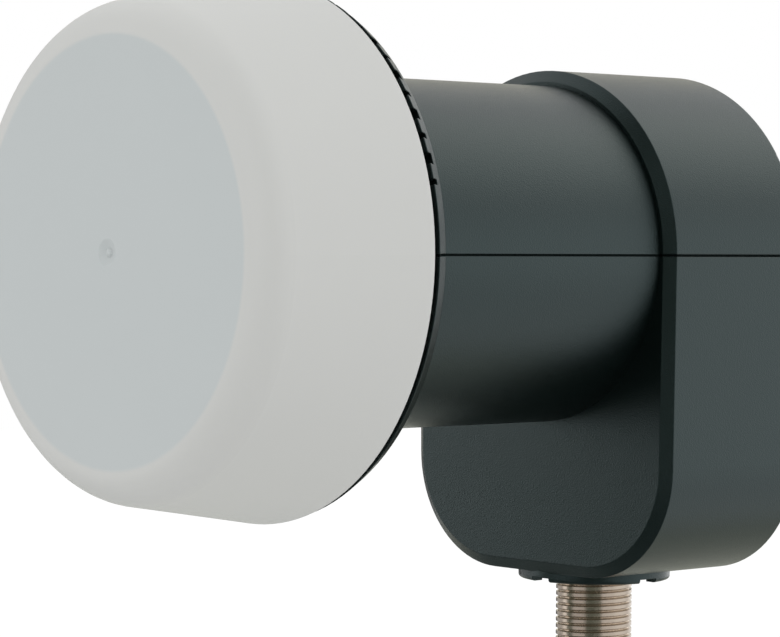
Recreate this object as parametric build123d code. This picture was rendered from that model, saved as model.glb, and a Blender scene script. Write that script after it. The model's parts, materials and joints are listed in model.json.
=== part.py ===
from build123d import *
import os
from math import cos, radians, sin, tan

# Satellite low-noise block converter with a 40 mm neck, in millimetres.
# The neck axis is Y, the feed looks along -Y and +Z is up.
# The origin is on the neck axis, in the middle of the length that a dish arm clamps.

# Neck and the flange behind the cap
neck_radius = 20.0
neck_wall = 1.8
neck_length = 40.95
neck_root_round = 1.0
clamp_to_housing = 20.7
flange_setback = 0.3
flange_thickness = 1.75
flange_edge = 0.1
flange_slope = 27.5
flange_round = 0.5

# Skew scale: notches in the front edge of the flange rim
scale_step = 5
scale_reach = 75
wide_notch = 1.25
narrow_notch = 0.65
notch_length = 0.8
notch_depth = 1.6

# Housing behind the neck
housing_radius = 21.85
housing_bottom = -38.1
housing_depth = 22.35
housing_draft = 0.7
housing_corner = 13.6
housing_wall = 2.0
bevel_width = 1.35
bevel_depth = 0.9
rear_round = 0.6

# Parting line of the two shells
seam_width = 0.3
seam_depth = 0.4
tongue_width = 0.6
tongue_height = 1.0
tongue_gap = 0.12

# Feed cap
cap_gap = 0.84
cap_depth = 19.75
cap_rim_radius = 29.8
cap_taper = 9.3
cap_shoulder = 4.1
cap_rim_round = 0.1
cap_wall = 1.6
cap_land_length = 8.6
cap_bead = 0.5
gate_radius = 1.5
gate_depth = 0.35
gate_stub_radius = 0.6

# Feed horn and waveguide of the casting
wave_radius = 8.75
wave_wall = 1.6
mouth_radius = 11.6
mouth_to_cap = 2.0
throat_length = 10.0
ring_count = 3
ring_wall = 1.1
ring_groove = 2.9
ring_step = 1.2
rim_wall = 3.4
rim_width = 4.6
rim_to_flange = 2.7
plate_thickness = 2.2
rim_gap = 0.25
seal_section = 1.7
seal_squeeze_gap = 0.02
seal_groove_width = 2.2
stop_ring_radius = 12.4
stop_ring_width = 3.0
rib_width = 2.0
rib_gap = 0.2

# Board chamber of the casting
chamber_clearance = 0.95
connector_room = 10.7
chamber_corner = 7.0
chamber_wall = 1.6
floor_thickness = 2.2
rim_height = 2.3
gasket_thickness = 0.7
lid_thickness = 1.8
backshort_length = 6.2
backshort_wall = 1.6
shield_rib = 1.2
shield_gap = 0.08

# Lid screws
screw_radius = 1.5
screw_gap = 0.05
screw_head_radius = 2.7
screw_head_height = 1.8
screw_recess_length = 3.2
screw_recess_width = 0.6
screw_recess_depth = 0.9
screw_grip = 5.0
screw_post_wall = 1.1
screw_post_end = 0.6
top_screw_angle = 55.0

# Circuit board
board_thickness = 0.8
board_gap = 0.25
tongue_board_width = 3.2
tongue_board_length = 5.2
probe_width = 1.4
probe_thickness = 0.1
solder_gap = 0.05

# F connector
connector_behind_front = 10.0
barrel_radius = 4.6
shank_step = 0.3
barrel_bore = 2.7
barrel_reach = 13.5
barrel_chamfer = 0.6
barrel_seat_gap = 0.02
boss_wall = 1.8
boss_gap = 0.2
boss_roof = 1.4
insulator_recess = 0.4
insulator_gap = 0.02
insulator_neck = 1.15
contact_radius = 0.4
socket_radius = 0.9
socket_bore = 0.5
socket_length = 8.5
socket_recess = 0.8
contact_lap = 3.0
shell_hole_gap = 0.35
ring_seal_section = 1.2

# Collar on the underside
collar_radius = 9.2
collar_wall = 1.6
collar_height = 1.2
collar_notch_width = 2.7
collar_notch_depth = 0.5
collar_round = 0.4

# Packages on the board: length along X, length along Z, height
transistor_size = (2.0, 1.6, 0.9)
chip_size = (5.0, 5.0, 0.9)
crystal_size = (3.2, 2.5, 0.8)
regulator_size = (2.5, 4.5, 1.5)
inductor_size = (4.0, 4.0, 2.0)
capacitor_size = (1.6, 3.2, 1.3)
resistor_size = (0.8, 1.6, 0.45)
diode_size = (2.6, 4.3, 2.1)
absorber_size = (9.0, 4.2, 0.8)
part_spacing = 0.9

# Places along the neck axis, from the cap's face to the housing's rear
housing_front = clamp_to_housing
flange_back = housing_front - neck_length
flange_front = flange_back - flange_thickness
cap_rim = flange_front - cap_gap
cap_face = cap_rim - cap_depth
cap_land = cap_rim - cap_land_length
housing_rear = housing_front + housing_depth
connector_y = housing_front + connector_behind_front
board_back = connector_y - contact_radius - solder_gap
board_front = board_back - board_thickness
floor_front = board_front - floor_thickness
chamber_rim = board_back + rim_height
lid_front = chamber_rim + gasket_thickness
lid_back = lid_front + lid_thickness
backshort_end = board_back + backshort_length
rim_back = flange_front - rim_to_flange
rim_front = rim_back - rim_width
mouth = cap_face + cap_wall + mouth_to_cap

# Radii and heights that follow from the sizes above
flange_radius = cap_rim_radius - flange_setback
chamber_radius = housing_radius - housing_wall - chamber_clearance
chamber_bottom = housing_bottom + connector_room
wave_outer = wave_radius + wave_wall
neck_bore = neck_radius - neck_wall
shell_floor = housing_bottom + housing_wall
boss_bottom = shell_floor + boss_gap
boss_top = chamber_bottom - boss_roof
shank_radius = barrel_radius + shank_step
boss_radius = shank_radius + boss_wall
barrel_end = housing_bottom - barrel_reach
barrel_top = boss_top - boss_roof
chamber_floor = chamber_bottom + chamber_wall
contact_end = chamber_floor + contact_lap
post_radius = screw_radius + screw_post_wall
post_front = board_front - screw_grip - screw_post_end


def facing(y):
    """Plane across the neck axis at y, with local x along X and local y along Z."""
    return Plane(origin=(0, y, 0), x_dir=(1, 0, 0), z_dir=(0, -1, 0))


def slab(sketch, front, back):
    """Solid from a front view, reaching from front to back along the neck axis."""
    return extrude(facing(back) * sketch, back - front)


def ring(outer, inner, front, back):
    """Plain ring round the neck axis."""
    return slab(Circle(outer) - Circle(inner), front, back)


def outline(*points):
    """Closed face through the given corners."""
    return make_face(Polyline(*points, close=True))


def soften(face, corner, radius):
    """Round the corner of a face that lies nearest the given point."""
    nearest = face.vertices().sort_by_distance((*corner, 0))[0]
    return fillet(nearest, radius)


def turned(profile):
    """Solid of revolution from a profile of (radius, y) about the neck axis."""
    return revolve(Plane.XY * profile, Axis.Y)


def upright(radius, bottom, top):
    """Cylinder on the connector axis between two heights."""
    height = top - bottom
    return Pos(0, connector_y, bottom + height / 2) * Cylinder(radius, height)


def discs(radius, places):
    """Circles of one radius at several places in the front view."""
    return Sketch() + [Pos(x, z) * Circle(radius) for x, z in places]


def arched(radius, bottom, corner, draft=0.0):
    """Front view of a half round over straight sides with round lower corners."""
    foot = radius + bottom * tan(radians(draft))
    sides = outline((-radius, 0), (radius, 0), (foot, bottom), (-foot, bottom))
    sides = soften(sides, (foot, bottom), corner)
    sides = soften(sides, (-foot, bottom), corner)
    return sides + Circle(radius)


def housing_view(inset):
    """Front view of the housing, drawn in from its outside by the inset."""
    return arched(
        housing_radius - inset, housing_bottom + inset, housing_corner - inset, housing_draft
    )


def chamber_view(inset):
    """Front view of the board chamber, drawn in from its outside by the inset."""
    return arched(chamber_radius - inset, chamber_bottom + inset, chamber_corner - inset)


def cap_side(y):
    """Outer radius of the cap's tapered side at y."""
    return cap_rim_radius - (cap_rim - y) * tan(radians(cap_taper))


seal_land = cap_side(cap_land) - cap_wall
rim_radius = seal_land - rim_gap
screw_inset = chamber_wall + post_radius
screw_circle = chamber_radius - screw_inset
low_screw_z = chamber_bottom + chamber_corner
low_screws = [(-screw_circle, low_screw_z), (screw_circle, low_screw_z)]
middle_screws = [(-screw_circle, -wave_radius), (screw_circle, -wave_radius)]
top_screws = [
    (side * screw_circle * sin(radians(top_screw_angle)), screw_circle * cos(radians(top_screw_angle)))
    for side in (-1, 1)
]
screw_places = low_screws + middle_screws + top_screws


def feed_cap():
    """Moulded cap with a flat face, a round shoulder and a side that widens to the rear."""
    outer_corner = cap_side(cap_face)
    outside = outline((0, cap_face), (outer_corner, cap_face), (cap_rim_radius, cap_rim), (0, cap_rim))
    outside = soften(outside, (outer_corner, cap_face), cap_shoulder)
    outside = soften(outside, (cap_rim_radius, cap_rim), cap_rim_round)
    inner_face = cap_face + cap_wall
    inner_corner = cap_side(inner_face) - cap_wall
    inside = outline(
        (0, inner_face),
        (inner_corner, inner_face),
        (seal_land, cap_land),
        (seal_land, cap_rim),
        (0, cap_rim),
    )
    inside = soften(inside, (inner_corner, inner_face), cap_shoulder - cap_wall)
    bead_front = rim_back + rim_gap
    bead = outline(
        (seal_land + cap_bead, bead_front),
        (seal_land - cap_bead, bead_front + cap_bead),
        (seal_land + cap_bead, bead_front + 3 * cap_bead),
    )
    cap = turned(outside - inside + bead)
    bowl = (gate_radius**2 + gate_depth**2) / (2 * gate_depth)
    dimple = Pos(0, cap_face + gate_depth - bowl, 0) * Sphere(bowl)
    stub = Pos(0, cap_face + gate_stub_radius, 0) * Sphere(gate_stub_radius)
    return cap - dimple + stub


def cap_seal():
    """Ring seal in the groove of the horn rim, against the land inside the cap."""
    section = seal_section / 2 - seal_squeeze_gap
    centre = rim_front + rim_width / 2
    seat = seal_land - seal_section / 2
    return turned(Pos(seat, centre) * Circle(section))


def horn_profile():
    """Half section of the horn: flared mouth, choke rings, sealing rim and waveguide."""
    points = [(wave_radius, floor_front), (wave_radius, mouth + throat_length), (mouth_radius, mouth)]
    radius = mouth_radius
    for index in range(ring_count):
        front = mouth + index * ring_step
        if index:
            points += [(radius, rim_front), (radius, front)]
        radius += ring_wall
        points += [(radius, front), (radius, rim_front)]
        radius += ring_groove
    groove_front = rim_front + (rim_width - seal_groove_width) / 2
    groove_floor = seal_land - seal_section
    points += [
        (rim_radius, rim_front),
        (rim_radius, groove_front),
        (groove_floor, groove_front),
        (groove_floor, groove_front + seal_groove_width),
        (rim_radius, groove_front + seal_groove_width),
        (rim_radius, rim_back),
        (rim_radius - rim_wall, rim_back),
        (rim_radius - rim_wall, rim_front + plate_thickness),
        (wave_outer, rim_front + plate_thickness),
        (wave_outer, -stop_ring_width / 2),
        (stop_ring_radius, -stop_ring_width / 2),
        (stop_ring_radius, stop_ring_width / 2),
        (wave_outer, stop_ring_width / 2),
        (wave_outer, floor_front),
    ]
    return outline(*points)


def cast_body():
    """Die casting: horn, waveguide, board chamber with screw posts, and connector boss."""
    body = turned(horn_profile())
    tray = slab(chamber_view(0), floor_front, chamber_rim)
    tray -= slab(chamber_view(chamber_wall), board_front, chamber_rim)
    posts = slab(discs(post_radius, screw_places), post_front, floor_front)
    boss = upright(boss_radius, boss_bottom, boss_top)
    web_depth = chamber_rim - floor_front
    web = Pos(0, floor_front + web_depth / 2, chamber_bottom) * Box(
        2 * barrel_radius, web_depth, 2 * boss_roof
    )
    body += tray + posts + boss + web
    body -= slab(Circle(wave_radius), floor_front, board_front)
    body -= slab(discs(screw_radius + screw_gap, screw_places), post_front + screw_post_end, board_front)
    body -= upright(shank_radius + barrel_seat_gap, boss_bottom, barrel_top)
    body -= upright(insulator_neck + insulator_gap, barrel_top, chamber_floor + boss_roof)
    seal_room = upright(shank_radius + ring_seal_section, boss_bottom, boss_bottom + ring_seal_section)
    return body - seal_room


def circuit_board():
    """Board over the end of the waveguide, with two tongues that reach into it."""
    window = Circle(wave_radius)
    reach = wave_radius - tongue_board_length / 2
    window -= Pos(0, -reach) * Rectangle(tongue_board_width, tongue_board_length)
    window -= Pos(reach, 0) * Rectangle(tongue_board_length, tongue_board_width)
    view = chamber_view(chamber_wall + board_gap) - window
    view -= discs(screw_radius + screw_gap, screw_places)
    return slab(view, board_front, board_back)


def probe(turn):
    """Pick-up strip on a board tongue, reaching from outside the waveguide into it."""
    strip_length = tongue_board_length + wave_wall
    middle = wave_radius - tongue_board_length + strip_length / 2
    strip = Rot(0, 0, turn) * Pos(0, -middle) * Rectangle(probe_width, strip_length - probe_width)
    return slab(strip, board_back, board_back + probe_thickness)


def on_board(size, places):
    """Packages of one size on the board's rear face at several places."""
    width, height, rise = size
    view = Sketch() + [Pos(x, z) * Rectangle(width, height) for x, z in places]
    return slab(view, board_back, board_back + rise)


def backshort_lid():
    """Cast lid with posts for the screws, shielding ribs and the waveguide's closed end."""
    board_side = board_back + shield_gap
    short_outer = wave_radius + backshort_wall
    lid = slab(chamber_view(0), lid_front, lid_back)
    lid += slab(Circle(short_outer), board_side, backshort_end + backshort_wall)
    lid += slab(discs(post_radius, screw_places), board_side, lid_front)
    wall_length = 2 * (chamber_radius - chamber_wall - board_gap)
    lid += slab(Pos(0, shield_z) * Rectangle(wall_length, shield_rib), board_side, lid_front)
    pass_width = tongue_board_width + 2 * part_spacing
    pass_rise = board_back + transistor_size[2] + part_spacing
    lid -= slab(Circle(wave_radius), board_side, backshort_end)
    lid -= slab(Pos(0, -wave_outer) * Rectangle(pass_width, 2 * pass_width), board_side, pass_rise)
    lid -= slab(Pos(wave_outer, 0) * Rectangle(2 * pass_width, pass_width), board_side, pass_rise)
    lid -= slab(Pos(0, shield_z) * Rectangle(pass_width, 2 * shield_rib), board_side, pass_rise)
    return lid - slab(discs(screw_radius + screw_gap, screw_places), board_side, lid_back)


def chamber_gasket():
    """Flat gasket on the rim of the chamber."""
    return slab(chamber_view(0) - chamber_view(chamber_wall), chamber_rim, lid_front)


def lid_screws():
    """Pan-head screws through lid and board into the casting."""
    tip = board_front - screw_grip
    head = slab(discs(screw_head_radius, screw_places), lid_back, lid_back + screw_head_height)
    shank = slab(discs(screw_radius, screw_places), tip, lid_back)
    cross = Rectangle(screw_recess_length, screw_recess_width)
    cross += Rectangle(screw_recess_width, screw_recess_length)
    recess = Sketch() + [Pos(x, z) * cross for x, z in screw_places]
    top = lid_back + screw_head_height
    return head + shank - slab(recess, top - screw_recess_depth, top)


def absorber_pad():
    """Absorber on the inside of the lid, over the converter chip."""
    width, height, rise = absorber_size
    return slab(Pos(*chip_place) * Rectangle(width, height), lid_front - rise, lid_front)


def connector_barrel():
    """Barrel of the F connector: chamfered, at the crest of its thread, and a wider shank in the boss."""
    barrel = upright(barrel_radius, barrel_end, housing_bottom)
    end = barrel.edges().filter_by(GeomType.CIRCLE).group_by(Axis.Z)[0]
    barrel = chamfer(end, barrel_chamfer)
    barrel += upright(shank_radius, housing_bottom, barrel_top - barrel_seat_gap)
    return barrel - upright(barrel_bore, barrel_end, barrel_top)


def connector_insulator():
    """Insulator in the barrel, with a neck through the chamber wall."""
    bottom = barrel_end + insulator_recess
    roof = chamber_floor
    plug = upright(barrel_bore - insulator_gap, bottom, barrel_top - barrel_seat_gap)
    plug += upright(insulator_neck, barrel_top - boss_roof, roof)
    socket_top = bottom + socket_recess + socket_length
    plug -= upright(socket_radius + insulator_gap, bottom, socket_top)
    return plug - upright(contact_radius + insulator_gap, socket_top, roof)


def centre_contact():
    """Socket for the cable's centre wire, with a pin that lies on the board."""
    bottom = barrel_end + insulator_recess + socket_recess
    top = bottom + socket_length
    contact = upright(socket_radius, bottom, top)
    contact += upright(contact_radius, top, contact_end)
    return contact - upright(socket_bore, bottom, top - socket_radius)


def connector_seal():
    """Ring seal round the barrel, between casting and lower shell."""
    section = ring_seal_section / 2 - seal_squeeze_gap
    centre = Pos(0, connector_y, boss_bottom + ring_seal_section / 2)
    return centre * Torus(shank_radius + ring_seal_section / 2, section)


def shell_envelope(inset):
    """Outside of both shells together, drawn in by the inset."""
    neck = neck_radius - inset
    rim = flange_radius - inset
    front = flange_front + inset
    back = flange_back - inset
    foot = rim - (flange_thickness - flange_edge) * tan(radians(flange_slope))
    inner = housing_front + housing_wall
    stem = outline(
        (0, front),
        (rim, front),
        (rim, front + flange_edge),
        (foot, back),
        (neck, back),
        (neck, inner),
        (0, inner),
    )
    stem = soften(stem, (foot, back), flange_round - inset)
    stem = soften(stem, (neck, back), neck_root_round + inset)
    face = housing_front + inset
    edge = face + bevel_depth
    block = slab(housing_view(inset), edge, housing_rear - inset)
    block = fillet(block.faces().sort_by(Axis.Y)[-1].edges(), rear_round - inset)
    small = facing(face) * housing_view(inset + bevel_width)
    large = facing(edge) * housing_view(inset)
    return turned(stem) + block + loft([small, large], ruled=True)


def shell_body():
    """Both shells as one hollow body, with the ribs that hold the casting."""
    room_front = housing_front + housing_wall
    room_back = housing_rear - housing_wall
    shell = shell_envelope(0)
    shell -= slab(Circle(neck_bore), flange_front, room_front)
    shell -= slab(housing_view(housing_wall), room_front, room_back)
    rib_starts = [
        flange_back,
        -stop_ring_width / 2 - rib_gap - rib_width,
        stop_ring_width / 2 + rib_gap,
        housing_front - rib_width,
    ]
    for start in rib_starts:
        shell += ring(neck_bore + neck_wall / 2, wave_outer + rib_gap, start, start + rib_width)
    pads = slab(discs(post_radius, low_screws), housing_front + housing_wall / 2, post_front - rib_gap)
    span = chamber_radius - chamber_bottom
    rib_view = Pos(0, chamber_bottom + span / 2) * Rectangle(rib_width, span)
    rear_ribs = Sketch() + [Pos(side * wave_radius / 2, 0) * rib_view for side in (-1, 1)]
    shell += pads
    shell += slab(rear_ribs, backshort_end + backshort_wall + rib_gap, room_back + housing_wall / 2)
    return shell


def seam_tongues(gap):
    """Bars along the parting line in the middle of the walls, enlarged by the gap."""
    width = tongue_width + 2 * gap
    height = tongue_height + gap
    neck_bar = neck_length - 2 * neck_root_round + 2 * gap
    neck_middle = housing_front - neck_length / 2
    side_bar = housing_depth - 2 * housing_wall - 2 * bevel_depth + 2 * gap
    rear_bar = 2 * (housing_radius - 2 * housing_wall) + 2 * gap
    side_middle = (housing_front + housing_rear) / 2 + bevel_depth / 2
    bars = Part()
    for side in (-1, 1):
        neck_x = side * (neck_radius - neck_wall / 2)
        side_x = side * (housing_radius - housing_wall / 2)
        bars += Pos(neck_x, neck_middle, 0) * Box(width, neck_bar, 2 * height)
        bars += Pos(side_x, side_middle, 0) * Box(width, side_bar, 2 * height)
    bars += Pos(0, housing_rear - housing_wall / 2, 0) * Box(rear_bar, width, 2 * height)
    return bars


def scale_notches():
    """Skew scale in the front edge of the flange rim, wide at every second mark."""
    cuts = Part()
    middle = flange_front + notch_length / 2
    for angle in range(-scale_reach, scale_reach + 1, scale_step):
        width = wide_notch if angle % (2 * scale_step) == 0 else narrow_notch
        cuts += Rot(0, angle, 0) * Pos(0, middle, flange_radius) * Box(width, notch_length, 2 * notch_depth)
    return cuts


def connector_collar():
    """Castellated ring round the connector on the underside."""
    bottom = housing_bottom - collar_height
    ring_body = upright(collar_radius, bottom, shell_floor)
    rim = ring_body.edges().filter_by(GeomType.CIRCLE).group_by(Axis.Z)[0]
    ring_body = fillet(rim, collar_round)
    ring_body -= upright(collar_radius - collar_wall, bottom, housing_bottom)
    notch = Pos(0, connector_y, bottom) * Box(3 * collar_radius, collar_notch_width, 2 * collar_notch_depth)
    cross = Pos(0, connector_y, bottom) * Box(collar_notch_width, 3 * collar_radius, 2 * collar_notch_depth)
    return ring_body - notch - cross


def shells():
    """Upper and lower shell, parted at the neck axis with a shadow line along the seam."""
    body = shell_body()
    reach = 4 * flange_radius
    seam = Box(reach, reach, seam_width) - shell_envelope(seam_depth)
    body -= seam
    upper = split(body, bisect_by=Plane.XY, keep=Keep.TOP)
    lower = split(body, bisect_by=Plane.XY, keep=Keep.BOTTOM)
    upper += seam_tongues(0)
    upper -= scale_notches()
    lower -= seam_tongues(tongue_gap)
    lower += connector_collar()
    lower -= upright(shank_radius + shell_hole_gap, housing_bottom - collar_height, shell_floor)
    return upper, lower


# Places on the board: amplifiers at the probes, supply beside the waveguide,
# and the converter in a row above the contact, spread between the low screw posts
row_z = contact_end + part_spacing + chip_size[1] / 2
shield_z = row_z + chip_size[1] / 2 + part_spacing + shield_rib / 2
row_sizes = [regulator_size, crystal_size, chip_size, diode_size, capacitor_size, capacitor_size]
row_span = 2 * (screw_circle - post_radius)
row_gap = (row_span - sum(size[0] for size in row_sizes)) / (len(row_sizes) + 1)
row_places = []
row_end = -row_span / 2
for size in row_sizes:
    row_end += row_gap + size[0]
    row_places.append((row_end - size[0] / 2, row_z))
regulator_place, crystal_place, chip_place, diode_place, *capacitor_places = row_places
stage_reach = wave_outer + part_spacing
transistor_places = [(0, -stage_reach - transistor_size[1] / 2), (stage_reach + transistor_size[0] / 2, 0)]
inductor_place = (-(wave_outer + chamber_radius - chamber_wall) / 2, 0)
resistor_z = tongue_board_width / 2 + part_spacing + resistor_size[1] / 2
resistor_places = [(transistor_places[1][0], side * resistor_z) for side in (-1, 1)]

upper_shell, lower_shell = shells()
pieces = {
    "upper_shell": upper_shell,
    "lower_shell": lower_shell,
    "feed_cap": feed_cap(),
    "cap_seal": cap_seal(),
    "cast_body": cast_body(),
    "circuit_board": circuit_board(),
    "vertical_probe": probe(0),
    "horizontal_probe": probe(90),
    "low_noise_transistors": on_board(transistor_size, transistor_places),
    "converter_chip": on_board(chip_size, [chip_place]),
    "reference_crystal": on_board(crystal_size, [crystal_place]),
    "voltage_regulator": on_board(regulator_size, [regulator_place]),
    "power_inductor": on_board(inductor_size, [inductor_place]),
    "filter_capacitors": on_board(capacitor_size, capacitor_places),
    "chip_resistors": on_board(resistor_size, resistor_places),
    "surge_diode": on_board(diode_size, [diode_place]),
    "absorber_pad": absorber_pad(),
    "chamber_gasket": chamber_gasket(),
    "backshort_lid": backshort_lid(),
    "lid_screws": lid_screws(),
    "connector_barrel": connector_barrel(),
    "connector_insulator": connector_insulator(),
    "centre_contact": centre_contact(),
    "connector_seal": connector_seal(),
}

os.makedirs("parts", exist_ok=True)
for name, piece in pieces.items():
    export_step(piece, f"parts/{name}.step")
    print(name, round(piece.volume, 1), "mm3")
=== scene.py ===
# %% [markdown]
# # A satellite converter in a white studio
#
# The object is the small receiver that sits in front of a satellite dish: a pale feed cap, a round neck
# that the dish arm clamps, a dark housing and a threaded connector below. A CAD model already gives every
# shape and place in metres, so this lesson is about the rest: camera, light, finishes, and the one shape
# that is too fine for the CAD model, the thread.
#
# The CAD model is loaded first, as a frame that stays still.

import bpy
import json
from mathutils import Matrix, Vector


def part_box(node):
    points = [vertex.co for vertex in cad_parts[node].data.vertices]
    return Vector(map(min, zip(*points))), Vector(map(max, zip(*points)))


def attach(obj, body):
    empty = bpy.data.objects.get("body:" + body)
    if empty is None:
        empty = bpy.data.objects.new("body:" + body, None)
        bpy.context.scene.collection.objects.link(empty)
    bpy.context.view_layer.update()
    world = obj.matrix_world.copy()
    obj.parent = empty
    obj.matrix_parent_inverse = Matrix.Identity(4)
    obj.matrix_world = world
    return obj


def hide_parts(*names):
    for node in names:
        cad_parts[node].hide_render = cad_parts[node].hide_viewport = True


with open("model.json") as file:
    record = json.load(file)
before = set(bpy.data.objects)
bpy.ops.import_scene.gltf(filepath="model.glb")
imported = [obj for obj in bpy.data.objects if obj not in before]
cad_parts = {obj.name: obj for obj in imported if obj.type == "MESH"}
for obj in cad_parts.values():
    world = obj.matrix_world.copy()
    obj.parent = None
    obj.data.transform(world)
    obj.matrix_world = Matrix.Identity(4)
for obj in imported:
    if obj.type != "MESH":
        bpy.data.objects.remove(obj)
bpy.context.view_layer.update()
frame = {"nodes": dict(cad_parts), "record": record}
mounts = {mount["name"]: mount for mount in frame["record"]["mounts"]}
print("CAD nodes:", len(frame["nodes"]), "and mounts:", list(mounts))

# %% Tools
import json
from math import pi, radians, tan

import bmesh
import bpy
from mathutils import Matrix, Vector

MM = 0.001
MICRON = 0.001 * MM
scene = bpy.context.scene
scene.view_settings.view_transform = "Standard"
print("colours are shown by the view transform", scene.view_settings.view_transform)

# %% [markdown]
# ## Camera
#
# The photograph was taken from the front right, level with the neck, from about 35 cm. The place, the three
# turns and the lens come from a fit of known sizes to the photograph: the neck, the cap's circles and the
# seam. The turns are applied as matrices in the order heading, pitch, roll, because a roll about the
# camera's own axis isn't one of the plain Euler angles.

# %% Camera
camera_place = (0.2598, -0.2317, 0.0017)
heading = Matrix.Rotation(radians(48.61), 4, "Z")
pitch = Matrix.Rotation(radians(90 - 1.51), 4, "X")
roll = Matrix.Rotation(radians(0.42), 4, "Z")
camera_data = bpy.data.cameras.new("camera")
camera_data.sensor_width = 36
camera_data.lens = 139.9
camera_data.clip_start = 10 * MM
camera = bpy.data.objects.new("camera", camera_data)
scene.collection.objects.link(camera)
camera.matrix_world = Matrix.Translation(camera_place) @ heading @ pitch @ roll
scene.camera = camera
print("camera is", round(Vector(camera_place).length / MM), "mm from the neck's middle")

# %% [markdown]
# ## Node helpers
#
# Every finish below is a small graph of shader nodes. One helper keeps the cells short: it adds a node,
# sets its options, and fills its inputs. A plain value is written into the socket, and an output of another
# node is linked to it. Two more turn a mask into a colour or a value.


# %% Node helpers
def add_node(tree, kind, inputs=None, **options):
    """Adds a node, sets its options, and fills or links its inputs by name or number."""
    node = tree.nodes.new(kind)
    for name, value in options.items():
        setattr(node, name, value)
    for name, value in (inputs or {}).items():
        if isinstance(value, bpy.types.NodeSocket):
            tree.links.new(value, node.inputs[name])
        else:
            node.inputs[name].default_value = value
    return node


def shade_between(tree, mask, first, last, low=0.3, high=0.7):
    """Colour that goes from the first to the last as the mask goes from low to high."""
    ramp = add_node(tree, "ShaderNodeValToRGB", {"Fac": mask})
    ramp.color_ramp.elements[0].position = low
    ramp.color_ramp.elements[0].color = (*first, 1)
    ramp.color_ramp.elements[1].position = high
    ramp.color_ramp.elements[1].color = (*last, 1)
    return ramp.outputs["Color"]


def value_between(tree, mask, low, high):
    """Value that goes from low to high as the mask goes from 0 to 1."""
    spread = add_node(tree, "ShaderNodeMapRange", {"Value": mask, "To Min": low, "To Max": high})
    return spread.outputs["Result"]


print("node helpers ready")

# %% [markdown]
# ## Studio
#
# The photograph is a product picture on pure white. The dark plastic has hardly any colour of its own: what
# it shows is the room. Its front bevel is nearly black, so the room is dark in front. Its sides and crown
# are grey, so there are large soft boxes behind and above.
#
# The soft light that falls on every surface comes from an even white world and a pale floor. Everything that
# only shapes reflections is apart from it: cards and soft boxes that neither the camera nor soft light sees.
# So a change to a reflection never changes how bright a colour comes out.


# %% White world
def seen_rays(tree):
    """1 for rays that show a background directly, in a reflection or through glass, 0 for soft light."""
    path = add_node(tree, "ShaderNodeLightPath").outputs
    seen = path["Is Camera Ray"]
    for label in ("Is Glossy Ray", "Is Transmission Ray"):
        seen = add_node(tree, "ShaderNodeMath", {0: seen, 1: path[label]}, operation="MAXIMUM").outputs[0]
    return seen


WHITE = (1, 1, 1, 1)
world = bpy.data.worlds.new("studio")
scene.world = world
world.use_nodes = True
tree = world.node_tree
tree.nodes.clear()
soft = add_node(tree, "ShaderNodeBackground", {"Color": WHITE, "Strength": 0.95})
shown = add_node(tree, "ShaderNodeBackground", {"Color": WHITE, "Strength": 1.0})
both = add_node(tree, "ShaderNodeMixShader", {0: seen_rays(tree), 1: soft.outputs[0], 2: shown.outputs[0]})
add_node(tree, "ShaderNodeOutputWorld", {"Surface": both.outputs[0]})
print("world of", len(tree.nodes), "nodes")

# %% [markdown]
# The floor lies well below the connector, so that the product seems to hang in white, as in the photograph.
# A pale grey floor would show grey against the white world, so it glows a little for rays that show it.


# %% Floor
def stage_object(name, bm):
    """Object that belongs to the studio and not to the product."""
    mesh = bpy.data.meshes.new(name)
    bm.to_mesh(mesh)
    bm.free()
    made = bpy.data.objects.new(name, mesh)
    scene.collection.objects.link(made)
    return made


floor_level = -0.25
floor_reach = 3
bm = bmesh.new()
bmesh.ops.create_grid(bm, x_segments=1, y_segments=1, size=floor_reach)
bmesh.ops.translate(bm, vec=(0, 0, floor_level), verts=bm.verts)
floor = stage_object("floor", bm)
print("floor at", round(floor_level / MM), "mm")

# %% Floor finish
paper = bpy.data.materials.new("white_paper")
paper.use_nodes = True
tree = paper.node_tree
tree.nodes.clear()
matt = add_node(tree, "ShaderNodeBsdfDiffuse", {"Color": (0.85, 0.85, 0.85, 1)})
glow = add_node(tree, "ShaderNodeEmission", {"Color": WHITE, "Strength": 0.24})
lit = add_node(tree, "ShaderNodeAddShader", {0: matt.outputs[0], 1: glow.outputs[0]})
both = add_node(tree, "ShaderNodeMixShader", {0: seen_rays(tree), 1: matt.outputs[0], 2: lit.outputs[0]})
add_node(tree, "ShaderNodeOutputMaterial", {"Surface": both.outputs[0]})
floor.data.materials.append(paper)
print("floor dressed in", paper.name)

# %% [markdown]
# A card is a sheet that a photographer sets beside a glossy product, so that the product mirrors it. A
# standing card is one upright edge, spun round the product. A level card is a grid, scaled to size. No card
# is seen by the camera or by soft light, and none throws a shadow.


# %% Card helpers
card_foot = floor_level + 10 * MM
card_head = 0.85
card_radius = 0.9


def standing_card(name, start, stop, low=card_foot, high=card_head, foot=card_radius, head=card_radius):
    """Card on an arc round the product, from one heading to another in degrees, 0 at the front."""
    bm = bmesh.new()
    below = bm.verts.new((0, -foot, low))
    above = bm.verts.new((0, -head, high))
    edge = bm.edges.new((below, above))
    bmesh.ops.rotate(bm, verts=bm.verts, cent=(0, 0, 0), matrix=Matrix.Rotation(radians(start), 3, "Z"))
    bmesh.ops.spin(
        bm, geom=[below, above, edge], axis=(0, 0, 1), cent=(0, 0, 0), angle=radians(stop - start), steps=12
    )
    return stage_object(name, bm)


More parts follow.
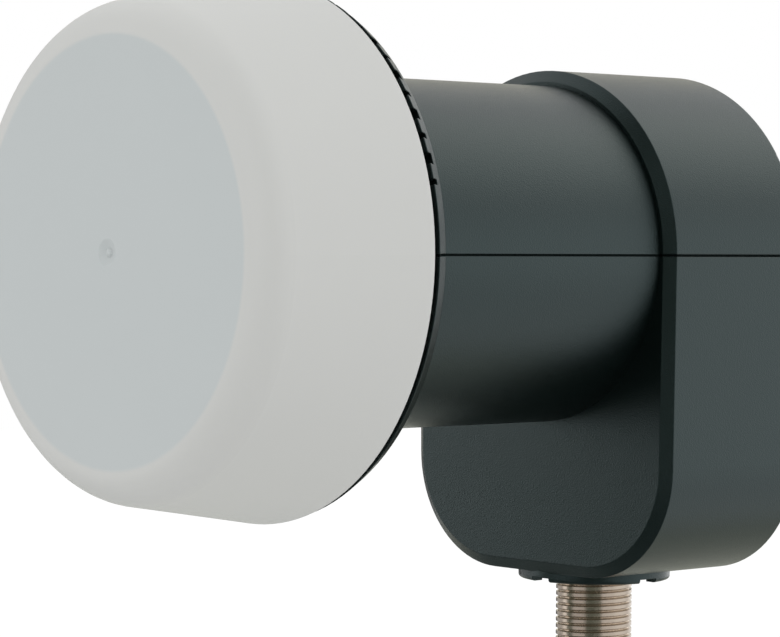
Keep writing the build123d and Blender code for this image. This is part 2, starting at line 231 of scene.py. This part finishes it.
def level_card(name, left, right, front, back, level=floor_level + 5 * MM):
    """Level card, a little above the floor unless a level is given."""
    bm = bmesh.new()
    bmesh.ops.create_grid(bm, x_segments=1, y_segments=1, size=0.5)
    bmesh.ops.scale(bm, vec=(right - left, back - front, 1), verts=bm.verts)
    centre = ((left + right) / 2, (front + back) / 2, level)
    bmesh.ops.translate(bm, vec=centre, verts=bm.verts)
    return stage_object(name, bm)


def card_finish(name, colour):
    """Matt card of one colour."""
    material = bpy.data.materials.new(name)
    material.use_nodes = True
    shader = material.node_tree.nodes["Principled BSDF"]
    shader.inputs["Base Color"].default_value = (*colour, 1)
    shader.inputs["Roughness"].default_value = 1
    shader.inputs["Specular IOR Level"].default_value = 0
    return material


def mirror_only(card, finish):
    """Dresses a card, and hides it from the camera and from soft light, so that only reflections show it."""
    card.data.materials.append(finish)
    card.visible_camera = False
    card.visible_diffuse = False
    card.visible_shadow = False
    print(card.name, "in", finish.name)


print("card helpers ready")

# %% [markdown]
# The long front card and the canopy that leans over it draw the nearly black bevel. The light card stands
# just before the front card and draws a soft upright light on the metal barrel. It is the lower of the
# two, so that the upper bevel stays dark. The left card calms the barrel's left edge, and the far left
# card keeps the housing's left edge dark. The back card's warm tone lies along the top edges of neck and
# housing.

# %% Standing cards
dark = card_finish("dark_card", (0.12, 0.12, 0.12))
mirror_only(standing_card("front_card", -46, 70), card_finish("grey_card", (0.19, 0.225, 0.185)))
mirror_only(standing_card("canopy", -14, 72, low=card_head, high=1.15, head=0.25), dark)
mirror_only(
    standing_card("light_card", -24, 20, high=0.5, foot=0.86, head=0.86),
    card_finish("light_grey_card", (0.95, 0.95, 0.95)),
)
mirror_only(standing_card("left_card", -105, -64, high=0.5), card_finish("mid_card", (0.75, 0.75, 0.75)))
mirror_only(standing_card("far_left_card", -131, -106, high=0.5), dark)
mirror_only(
    standing_card("back_card", 212, 250, low=-0.08, high=0.5), card_finish("warm_card", (0.95, 0.92, 0.8))
)

# %% [markdown]
# Three level cards tone the surfaces that look down. The small one close under the housing shows in the
# lowest bevel, the dark grey one in front shows in the bevel's corners, and the pale one behind shows in
# the neck's underside.

# %% Level cards
mirror_only(level_card("low_card", -0.6, 0.6, -0.88, 0.05), card_finish("low_grey_card", (0.19, 0.21, 0.2)))
mirror_only(
    level_card("under_card", -0.05, 0.02, 0.005, 0.044, level=-0.06),
    card_finish("soft_grey_card", (0.42, 0.46, 0.44)),
)
mirror_only(
    level_card("rear_low_card", -0.75, 0.115, 0.05, 0.9), card_finish("pale_card", (0.66, 0.67, 0.58))
)

# %% [markdown]
# Soft boxes are area lamps: the bright panels that the neck, the flange and the housing mirror. Their place
# is found by reflection: a ray from the camera to the surface is mirrored there, and the lamp stands where
# that ray goes.


# %% Soft boxes
def soft_box(name, width, height, power, place, tint=(1, 1, 1)):
    """Large area lamp that looks at the neck's middle."""
    lamp = bpy.data.lights.new(name, "AREA")
    lamp.shape = "RECTANGLE"
    lamp.size = width
    lamp.size_y = height
    lamp.energy = power
    lamp.color = tint
    holder = bpy.data.objects.new(name, lamp)
    turn = (-Vector(place)).to_track_quat("-Z", "Y").to_matrix().to_4x4()
    holder.matrix_world = Matrix.Translation(place) @ turn
    holder.visible_diffuse = False
    scene.collection.objects.link(holder)
    print(name, "of", power, "W")


soft_box("back_light", 1.2, 0.75, 0.92, (0.95, 0.95, 0.02), tint=(0.95, 1, 1))
soft_box("rear_light", 0.7, 0.5, 0.7, (-0.2, 1.3, 0.05))
soft_box("top_light", 1.1, 0.9, 1.82, (0.3, 1.1, 1.0), tint=(1, 0.98, 0.88))
soft_box("left_light", 0.4, 0.9, 0.72, (-0.98, -0.72, 0.1))

# %% [markdown]
# ## Shared surface effects
#
# Most pieces share a few effects: the fine spark-eroded grain of a mould, slow cloudy changes from handling
# and cooling, and the rings that a lathe leaves. Each is a node group with named sockets, built once and
# placed in several materials with other values. A group puts out only masks and heights. The shader itself
# stays in each material. Lathe rings are a noise that is stretched across the axis, so that it changes
# mostly along the axis.


# %% Group: mould grain
def new_group(name, outputs):
    """Empty shader group that takes a place and a scale. Returns it with the sockets to wire inside it."""
    group = bpy.data.node_groups.new(name, "ShaderNodeTree")
    group.interface.new_socket("Vector", in_out="INPUT", socket_type="NodeSocketVector")
    group.interface.new_socket("Scale", in_out="INPUT", socket_type="NodeSocketFloat")
    for label in outputs:
        group.interface.new_socket(label, in_out="OUTPUT", socket_type="NodeSocketFloat")
    return group, group.nodes.new("NodeGroupInput").outputs, group.nodes.new("NodeGroupOutput").inputs


mould_grain, given, put_out = new_group("mould_grain", ["Height", "Tone"])
fine = add_node(
    mould_grain, "ShaderNodeTexNoise",
    {"Vector": given["Vector"], "Scale": given["Scale"], "Detail": 2.0, "Roughness": 0.6},
)
pits = add_node(
    mould_grain, "ShaderNodeTexVoronoi",
    {"Vector": given["Vector"], "Scale": given["Scale"], "Randomness": 1.0}, feature="SMOOTH_F1",
)
skin_height = add_node(
    mould_grain, "ShaderNodeMath", {0: fine.outputs[0], 1: pits.outputs["Distance"]}, operation="ADD"
)
mould_grain.links.new(skin_height.outputs[0], put_out["Height"])
mould_grain.links.new(fine.outputs[0], put_out["Tone"])
print("group", mould_grain.name)

# %% Group: cloudy handling marks
handling, given, put_out = new_group("handling", ["Cloud"])
cloud = add_node(
    handling, "ShaderNodeTexNoise",
    {
        "Vector": given["Vector"], "Scale": given["Scale"],
        "Detail": 3.0, "Roughness": 0.55, "Distortion": 0.4,
    },
)
handling.links.new(cloud.outputs[0], put_out["Cloud"])
print("group", handling.name)

# %% Group: lathe rings
lathe_rings, given, put_out = new_group("lathe_rings", ["Height"])
stretch = 25
along = (1 / stretch, 1 / stretch, 1.0)
squash = add_node(lathe_rings, "ShaderNodeVectorMath", {0: given["Vector"], 1: along}, operation="MULTIPLY")
rings = add_node(
    lathe_rings, "ShaderNodeTexNoise",
    {"Vector": squash.outputs[0], "Scale": given["Scale"], "Detail": 1.0, "Roughness": 0.5},
)
lathe_rings.links.new(rings.outputs[0], put_out["Height"])
print("group", lathe_rings.name)

# %% [markdown]
# ## Finishes
#
# A finish starts from a Principled shader. What is the same all over the surface is set on the shader's own
# sockets, and only what changes over the surface comes through nodes. Patterns read Object coordinates,
# which are metres here, so a grain of a seventh of a millimetre has a scale of 7000.


# %% Finish helpers
def new_finish(name, **plain):
    """Material with a Principled shader, its plain sockets set, and the object's own coordinates."""
    material = bpy.data.materials.new(name)
    material.use_nodes = True
    tree = material.node_tree
    shader = tree.nodes["Principled BSDF"]
    for label, value in plain.items():
        shader.inputs[label.replace("_", " ").title().replace("Ior", "IOR")].default_value = value
    coords = add_node(tree, "ShaderNodeTexCoord").outputs["Object"]
    return material, tree, shader, coords


def use_group(tree, group, coords, scale):
    """Places a shared effect in a material and returns its outputs."""
    node = add_node(tree, "ShaderNodeGroup", node_tree=group)
    tree.links.new(coords, node.inputs["Vector"])
    node.inputs["Scale"].default_value = scale
    return node.outputs


def from_axis(tree, coords, centre, across):
    """Distance from an axis through the centre, where across keeps the two directions that count."""
    arm = add_node(tree, "ShaderNodeVectorMath", {0: coords, 1: centre}, operation="SUBTRACT")
    arm = add_node(tree, "ShaderNodeVectorMath", {0: arm.outputs[0], 1: across}, operation="MULTIPLY")
    return add_node(tree, "ShaderNodeVectorMath", {0: arm.outputs[0]}, operation="LENGTH").outputs["Value"]


def relief(tree, shader, height, depth, strength=1.0, edge=None):
    """Bump of the given depth in metres, over edges that are rounded in shading if edge is given."""
    bump = add_node(tree, "ShaderNodeBump", {"Height": height, "Distance": depth, "Strength": strength})
    if edge is not None:
        rounded = add_node(tree, "ShaderNodeBevel", {"Radius": edge}, samples=8)
        tree.links.new(rounded.outputs[0], bump.inputs["Normal"])
    tree.links.new(bump.outputs[0], shader.inputs["Normal"])


def dress(material, *nodes):
    """Gives CAD nodes a finish in their own material slots."""
    for name in nodes:
        for slot in frame["nodes"][name].material_slots:
            slot.material = material
    print(material.name, "on", ", ".join(nodes))


print("finish helpers ready")

# %% [markdown]
# ### Dark moulded shroud
#
# The two shells are moulded from a nearly black plastic with a green-blue cast. The mould is spark-eroded,
# so the skin is satin, with a fine even grain that spreads reflections. Edges of a moulding are never
# sharp, so shading rounds them by a fifth of a millimetre. The neck is left out, because the housing stands
# so close to its end that the rounding would blur the dark corner there.
#
# The seam between the shells is a groove with an unpolished floor, so a mask on the height gives it full
# roughness: it mirrors nothing and stays dark.

# %% Dark shell colour and roughness
dark_shell, tree, shader, coords = new_finish("dark_shell", ior=1.54, specular_tint=(0.72, 0.98, 1.0, 1))
grain = use_group(tree, mould_grain, coords, 7000)
marks = use_group(tree, handling, coords, 45)
tint = shade_between(tree, grain["Tone"], (0.0010, 0.0026, 0.0022), (0.0020, 0.0044, 0.0038))
tree.links.new(tint, shader.inputs["Base Color"])
skin = value_between(tree, marks["Cloud"], 0.28, 0.34)
height = add_node(tree, "ShaderNodeSeparateXYZ", {0: coords}).outputs["Z"]
height = add_node(tree, "ShaderNodeMath", {0: height}, operation="ABSOLUTE").outputs[0]
seam_half, seam_edge = 0.13 * MM, 0.15 * MM
seam = add_node(
    tree, "ShaderNodeMapRange",
    {"Value": height, "From Min": seam_half, "From Max": seam_edge, "To Min": 1.0, "To Max": 0.0},
)
rough = add_node(tree, "ShaderNodeMath", {0: skin, 1: seam.outputs["Result"]}, operation="MAXIMUM")
tree.links.new(rough.outputs[0], shader.inputs["Roughness"])
print("seam mask", round(2 * seam_half / MM, 2), "mm high")

# %% Dark shell relief
neck_radius = mounts["neck"]["dims"]["r_mm"] * MM
edge_round = 0.2 * MM
off_axis = from_axis(tree, coords, (0, 0, 0), (1, 0, 1))
edge = add_node(
    tree, "ShaderNodeMapRange",
    {
        "Value": off_axis, "From Min": neck_radius + 0.3 * MM, "From Max": neck_radius + 0.5 * MM,
        "To Min": 0.0, "To Max": edge_round,
    },
)
relief(tree, shader, grain["Height"], 22 * MICRON, 0.9, edge=edge.outputs["Result"])
dress(dark_shell, "upper_shell", "lower_shell")

# %% [markdown]
# ### Pale feed cap
#
# The cap is moulded from a pale plastic that lets microwaves through. It is slightly translucent, which
# softens its shading, and its grain is shallower than the shroud's. Its face has painted shade: it is a
# little darker and cooler than the side, and a mask on the distance from the axis mixes the two tones.

# %% Feed cap finish
pale_cap, tree, shader, coords = new_finish(
    "pale_cap", ior=1.5, subsurface_weight=0.2, subsurface_radius=(1.0, 1.0, 1.0), subsurface_scale=1.5 * MM
)
grain = use_group(tree, mould_grain, coords, 6500)
marks = use_group(tree, handling, coords, 30)
off_axis = from_axis(tree, coords, (0, 0, 0), (1, 0, 1))
# The face is marked by its distance from the axis, so that painted shade can be laid on it.
shaded_face_radius = 23.1 * MM
shaded_face_blend = 0.3 * MM
on_side = add_node(
    tree, "ShaderNodeMapRange",
    {"Value": off_axis, "From Min": shaded_face_radius - shaded_face_blend, "From Max": shaded_face_radius + shaded_face_blend},
    interpolation_type="SMOOTHSTEP",
)
# Painted shade: the face's tone is darker and cooler than the side's tone.
shaded_face_tone = shade_between(tree, marks["Cloud"], (0.546, 0.582, 0.584), (0.556, 0.592, 0.594))
side = shade_between(tree, marks["Cloud"], (0.622, 0.628, 0.610), (0.634, 0.640, 0.622))
tint = add_node(
    tree, "ShaderNodeMix", {"Factor": on_side.outputs["Result"], 6: shaded_face_tone, 7: side}, data_type="RGBA"
)
tree.links.new(tint.outputs[2], shader.inputs["Base Color"])
tree.links.new(value_between(tree, marks["Cloud"], 0.42, 0.5), shader.inputs["Roughness"])
relief(tree, shader, grain["Height"], 5 * MICRON, 0.4, edge=edge_round)
dress(pale_cap, "feed_cap")

# %% [markdown]
# ## Threaded barrel
#
# The barrel is turned from brass bar and its thread is cut: 32 turns to the inch, with flanks at 60 degrees
# to each other. The photograph shows broad crests that take half the pitch, and narrow grooves between them.
# The CAD model has a plain cylinder at the crest, because so fine a helix would only burden it. A texture
# could fake the rings, but the toothed silhouette shows against the white, so the thread is real here.
#
# A screw is a profile that climbs as it turns. One upright line holds the profile of all turns, and spin
# carries it once round the axis while its dvec lifts each step a little, one pitch in all. The end of that
# turn lands on the start of the next one, so merging doubles closes the helix.

# %% Thread sizes
barrel_low, barrel_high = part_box("connector_barrel")
axis = (barrel_low + barrel_high) / 2
axis.z = 0
thread = mounts["f_thread"]
crest = thread["dims"]["r_mm"] * MM
thread_top = thread["pos_m"][2] + thread["dims"]["length_mm"] * MM / 2
thread_length = thread_top - barrel_low.z
thread_pitch = 25.4 * MM / 32
crest_width = 0.52 * thread_pitch
root_width = 0.06 * thread_pitch
flank = (thread_pitch - crest_width - root_width) / 2
root = crest - flank / tan(radians(30))
print("thread", round(thread_length / MM, 1), "mm long,", round((crest - root) / MM, 2), "mm deep")

# %% Wind the thread
spare_turns = 4
early_start = 1.13
turns = int(thread_length / thread_pitch) + spare_turns
bm = bmesh.new()
line = []
for turn in range(turns):
    z = barrel_low.z + (turn - early_start) * thread_pitch
    for radius, rise in ((root, 0), (root, root_width), (crest, flank), (crest, crest_width)):
        z += rise
        line.append(bm.verts.new((axis.x + radius, axis.y, z)))
profile = [bm.edges.new(pair) for pair in zip(line, line[1:])]
steps = 120
bmesh.ops.spin(
    bm, geom=line + profile, axis=(0, 0, 1), cent=axis, angle=2 * pi, steps=steps,
    dvec=(0, 0, thread_pitch / steps),
)
bmesh.ops.remove_doubles(bm, verts=bm.verts, dist=10 * MICRON)
print("helix of", len(bm.faces), "faces")

# %% [markdown]
# The helix is longer than the thread, so planes cut it at both ends. Two more cuts mark where the chamfer
# at the open end and the runout at the housing begin. There, vertices that stand too far out are drawn in
# towards the axis.


# %% Trim the thread
def cut(level, drop=None):
    """Cuts the piece at a level, and drops what lies above or below it, or nothing."""
    bmesh.ops.bisect_plane(
        bm, geom=bm.verts[:] + bm.edges[:] + bm.faces[:], plane_co=(0, 0, level), plane_no=(0, 0, 1),
        clear_outer=drop == "above", clear_inner=drop == "below",
    )


chamfer = 0.6 * MM
runout = 0.4 * MM
tolerance = 0.1 * MICRON
cut(barrel_low.z, drop="below")
cut(thread_top, drop="above")
cut(barrel_low.z + chamfer)
cut(thread_top - runout)
for vert in bm.verts:
    limit = crest - chamfer + vert.co.z - barrel_low.z
    if vert.co.z > thread_top - runout - tolerance:
        limit = root
    arm = (vert.co - axis) * Vector((1, 1, 0))
    if arm.length > limit:
        vert.co -= arm * (1 - limit / arm.length)
print("trimmed to", len(bm.faces), "faces")

# %% [markdown]
# The piece is still an open sleeve. Its lower rim is carried in to the bore. Its upper rim goes out to the
# shank that sits in the housing, up the shank, and in to the bore. A bridge between the two rims makes the
# bore's wall and closes the piece.


# %% Close the barrel
def rim(level):
    """Open edges of the piece at one level."""
    return [
        e for e in bm.edges if e.is_boundary and all(abs(v.co.z - level) < 10 * tolerance for v in e.verts)
    ]


def carry_on(edges, spread=1.0, rise=0.0):
    """Extrudes open edges, then spreads them from the axis and lifts them. Returns the new edges."""
    made = bmesh.ops.extrude_edge_only(bm, edges=edges)["geom"]
    verts = [v for v in made if isinstance(v, bmesh.types.BMVert)]
    bmesh.ops.scale(bm, vec=(spread, spread, 1), verts=verts, space=Matrix.Translation(-axis))
    bmesh.ops.translate(bm, vec=(0, 0, rise), verts=verts)
    return [e for e in made if isinstance(e, bmesh.types.BMEdge)]


bore = 2.7 * MM
shank = (barrel_high.x - barrel_low.x) / 2
low_bore = carry_on(rim(barrel_low.z), spread=bore / (crest - chamfer))
seat = carry_on(rim(thread_top), spread=shank / root)
seat = carry_on(seat, rise=barrel_high.z - thread_top)
high_bore = carry_on(seat, spread=bore / shank)
bmesh.ops.bridge_loops(bm, edges=low_bore + high_bore)
bmesh.ops.recalc_face_normals(bm, faces=bm.faces)
print("open edges left:", sum(e.is_boundary for e in bm.edges))

# %% Threaded barrel
for face in bm.faces:
    face.smooth = True
mesh = bpy.data.meshes.new("threaded_barrel")
bm.to_mesh(mesh)
bm.free()
mesh.set_sharp_from_angle(angle=radians(40))
barrel = bpy.data.objects.new("threaded_barrel", mesh)
scene.collection.objects.link(barrel)
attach(barrel, "root")
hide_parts("connector_barrel")
print(barrel.name, len(mesh.polygons), "faces")

# %% [markdown]
# ### Plated barrel
#
# The brass is nickel plated, which leaves it a warm grey. Plugs wear the crests dull, while the grooves stay
# bright. A mask on the distance from the barrel's axis tells the two apart, and lathe rings vary the
# roughness.

# %% Plated barrel finish
plated_barrel, tree, shader, coords = new_finish("plated_barrel", metallic=1.0)
turned = use_group(tree, lathe_rings, coords, 9000)["Height"]
off_axis = from_axis(tree, coords, axis, (1, 1, 0))
height = add_node(tree, "ShaderNodeMapRange", {"Value": off_axis, "From Min": root, "From Max": crest})
height = height.outputs["Result"]
tint = shade_between(tree, height, (0.58, 0.50, 0.415), (0.42, 0.355, 0.295), 0.0, 1.0)
tree.links.new(tint, shader.inputs["Base Color"])
worn = value_between(tree, height, 0.09, 0.17)
rough = add_node(tree, "ShaderNodeMath", {0: turned, 1: 0.14, 2: worn}, operation="MULTIPLY_ADD")
tree.links.new(rough.outputs[0], shader.inputs["Roughness"])
relief(tree, shader, turned, 4 * MICRON, 0.5, edge=0.05 * MM)
barrel.data.materials.append(plated_barrel)
dress(plated_barrel, "connector_barrel")

# %% [markdown]
# ## Inner pieces
#
# Nothing below shows in the photograph, but the part is reusable: whoever takes the cap or the shell off
# sees these pieces. Their finishes are simple: in each, one effect drives colour, roughness and relief
# together. That is near the truth for such surfaces: where a casting is pitted, it is also darker.


# %% Inner finish helper
def finish_from(name, group, scale, mask, colours, gloss, depth, **plain):
    """Finish whose colour, roughness and relief follow one effect at the given scale."""
    material, tree, shader, coords = new_finish(name, **plain)
    effect = use_group(tree, group, coords, scale)[mask]
    tree.links.new(shade_between(tree, effect, *colours), shader.inputs["Base Color"])
    tree.links.new(value_between(tree, effect, *gloss), shader.inputs["Roughness"])
    relief(tree, shader, effect, depth)
    return material


print("inner finish helper ready")

# %% [markdown]
# ### Casting
#
# Horn, waveguide, chamber and boss are one aluminium pressure casting, and the lid is a second one. The skin
# is dull grey with small pits, where the metal froze against the die.

# %% Casting finish
casting = finish_from(
    "casting", mould_grain, 1400, "Tone", colours=((0.50, 0.50, 0.51), (0.66, 0.66, 0.66)),
    gloss=(0.38, 0.58), depth=20 * MICRON, metallic=1.0,
)
dress(casting, "cast_body", "backshort_lid")

# %% [markdown]
# ### Seals and absorber
#
# The ring seals and the gasket are black moulded rubber, with a faint bloom on the surface. The absorber in
# the lid is rubber filled with iron powder, so it is greyer and rougher, and flecks show in it.

# %% Rubber finishes
seal_rubber = finish_from(
    "seal_rubber", handling, 400, "Cloud", colours=((0.011, 0.011, 0.011), (0.026, 0.026, 0.025)),
    gloss=(0.7, 0.86), depth=10 * MICRON,
)
dress(seal_rubber, "cap_seal", "connector_seal", "chamber_gasket")
absorber_rubber = finish_from(
    "absorber_rubber", mould_grain, 2200, "Height", colours=((0.020, 0.020, 0.022), (0.090, 0.088, 0.086)),
    gloss=(0.8, 0.95), depth=30 * MICRON,
)
dress(absorber_rubber, "absorber_pad")

# %% [markdown]
# ### Circuit board
#
# The board is glass cloth in resin under green solder resist. The cloth shows through as a faint weave of
# half a millimetre, so a new group crosses two bands of waves, one along the board and one up it. The resist
# is a clear varnish, which the shader's coat gives.

# %% Group: weave
weave, given, put_out = new_group("weave", ["Height"])
bands = [
    add_node(
        weave, "ShaderNodeTexWave",
        {"Vector": given["Vector"], "Scale": given["Scale"], "Distortion": 0.6, "Detail": 1.0},
        wave_type="BANDS", bands_direction=direction,
    ).outputs["Fac"]
    for direction in "XZ"
]
cloth = add_node(weave, "ShaderNodeMath", {0: bands[0], 1: bands[1]}, operation="MULTIPLY")
weave.links.new(cloth.outputs[0], put_out["Height"])
print("group", weave.name)

# %% Board finish
board_laminate = finish_from(
    "board_laminate", weave, 600, "Height", colours=((0.016, 0.095, 0.048), (0.028, 0.150, 0.075)),
    gloss=(0.32, 0.42), depth=6 * MICRON, coat_weight=0.4, coat_roughness=0.15,
)
dress(board_laminate, "circuit_board")

# %% [markdown]
# ### Bare metal on the board
#
# The two probes are etched copper, a little tarnished in clouds. The crystal sits in a drawn can of bright
# steel, and drawing leaves fine lines along it.

# %% Copper and can finishes
probe_copper = finish_from(
    "probe_copper", handling, 500, "Cloud", colours=((0.62, 0.36, 0.22), (0.82, 0.56, 0.38)),
    gloss=(0.24, 0.42), depth=2 * MICRON, metallic=1.0,
)
dress(probe_copper, "vertical_probe", "horizontal_probe")
crystal_can = finish_from(
    "crystal_can", lathe_rings, 7000, "Height", colours=((0.60, 0.60, 0.59), (0.72, 0.72, 0.71)),
    gloss=(0.18, 0.34), depth=3 * MICRON, metallic=1.0,
)
dress(crystal_can, "reference_crystal")

# %% [markdown]
# ### Components
#
# Transistors, converter chip, regulator, diode, inductor and resistors are moulded in black epoxy with a
# fine matt grain. The capacitors are fired ceramic, tan and slightly cloudy.

# %% Component finishes
package_black = finish_from(
    "package_black", mould_grain, 9000, "Height", colours=((0.010, 0.010, 0.011), (0.024, 0.024, 0.025)),
    gloss=(0.5, 0.66), depth=4 * MICRON,
)
dress(
    package_black, "low_noise_transistors", "converter_chip", "voltage_regulator", "surge_diode",
    "power_inductor", "chip_resistors",
)
chip_ceramic = finish_from(
    "chip_ceramic", handling, 1500, "Cloud", colours=((0.36, 0.25, 0.16), (0.50, 0.37, 0.25)),
    gloss=(0.34, 0.5), depth=3 * MICRON,
)
dress(chip_ceramic, "filter_capacitors")

# %% [markdown]
# ### Screws and connector core
#
# The lid screws are zinc plated steel with turning marks. In the connector, a turned white insulator carries
# the sprung contact, which is gilded brass. The insulator lets a little light in.

# %% Screw and connector finishes
screw_steel = finish_from(
    "screw_steel", lathe_rings, 6000, "Height", colours=((0.54, 0.54, 0.50), (0.68, 0.68, 0.66)),
    gloss=(0.26, 0.44), depth=4 * MICRON, metallic=1.0,
)
dress(screw_steel, "lid_screws")
insulator_white = finish_from(
    "insulator_white", lathe_rings, 4000, "Height", colours=((0.74, 0.75, 0.72), (0.82, 0.82, 0.80)),
    gloss=(0.34, 0.46), depth=3 * MICRON,
    subsurface_weight=0.1, subsurface_radius=(1.0, 1.0, 1.0), subsurface_scale=1 * MM,
)
dress(insulator_white, "connector_insulator")
contact_brass = finish_from(
    "contact_brass", lathe_rings, 8000, "Height", colours=((0.66, 0.48, 0.20), (0.80, 0.64, 0.34)),
    gloss=(0.2, 0.36), depth=3 * MICRON, metallic=1.0,
)
dress(contact_brass, "centre_contact")
